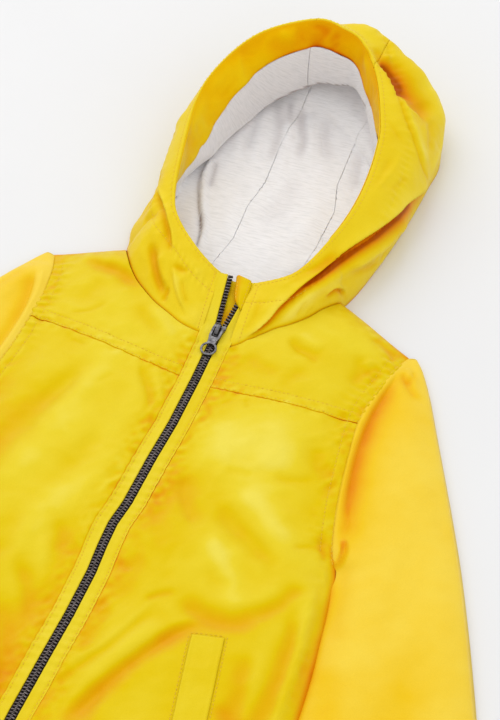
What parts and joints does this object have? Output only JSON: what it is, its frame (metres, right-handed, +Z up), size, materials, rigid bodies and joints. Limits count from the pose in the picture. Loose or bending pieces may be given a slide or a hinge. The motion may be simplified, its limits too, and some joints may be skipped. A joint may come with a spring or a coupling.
{
  "type": "hooded rain jacket",
  "caption": "Child's hooded rain jacket, zipped to the neck and laid flat on its back, with a jersey-lined hood spread open, front yokes and slanted welt pockets.",
  "frame": {"origin": "on the underside of the back panel, where the jacket lies on the surface, under the zip at the height of the front neck seam", "axes": "+Y up the zip towards the hood, +X to the right as it is looked down on (the wearer's left sleeve), +Z up from the surface"},
  "size_m": [0.594, 0.719, 0.076],
  "materials": {
    "yellow_nylon": "smooth woven nylon with a soft sheen",
    "grey_jersey": "light grey marl jersey, matt",
    "zip_tape": "black woven tape",
    "zip_teeth": "dark gunmetal",
    "gunmetal": "polished dark gunmetal"
  },
  "bodies": {
    "jacket": {"back": "yellow_nylon", "front_left": "yellow_nylon", "front_right": "yellow_nylon", "front_yoke_left": "yellow_nylon", "front_yoke_right": "yellow_nylon", "sleeve_left": "yellow_nylon", "sleeve_right": "yellow_nylon", "pocket_welt_left": "yellow_nylon", "pocket_welt_right": "yellow_nylon", "zip_band_left": "yellow_nylon", "zip_band_right": "yellow_nylon", "chin_guard": "yellow_nylon", "hood_left": "yellow_nylon", "hood_right": "yellow_nylon", "hood_strip": "yellow_nylon", "hood_facing": "yellow_nylon", "lining_left": "grey_jersey", "lining_right": "grey_jersey", "lining_strip": "grey_jersey", "zip_tape_left": "zip_tape", "zip_tape_right": "zip_tape", "zip_chain_closed": "zip_teeth", "zip_chain_left": "zip_teeth", "zip_chain_right": "zip_teeth", "zip_slider": "gunmetal"},
    "pull": {"zip_pull": "gunmetal"}
  },
  "joints": [
    {"name": "pull_hinge", "type": "hinge", "parent": "jacket", "child": "pull", "pos_m": [0, 0.0085, 0.0162], "axis": [-1, 0, 0], "range_deg": [0, 120]}
  ]
}
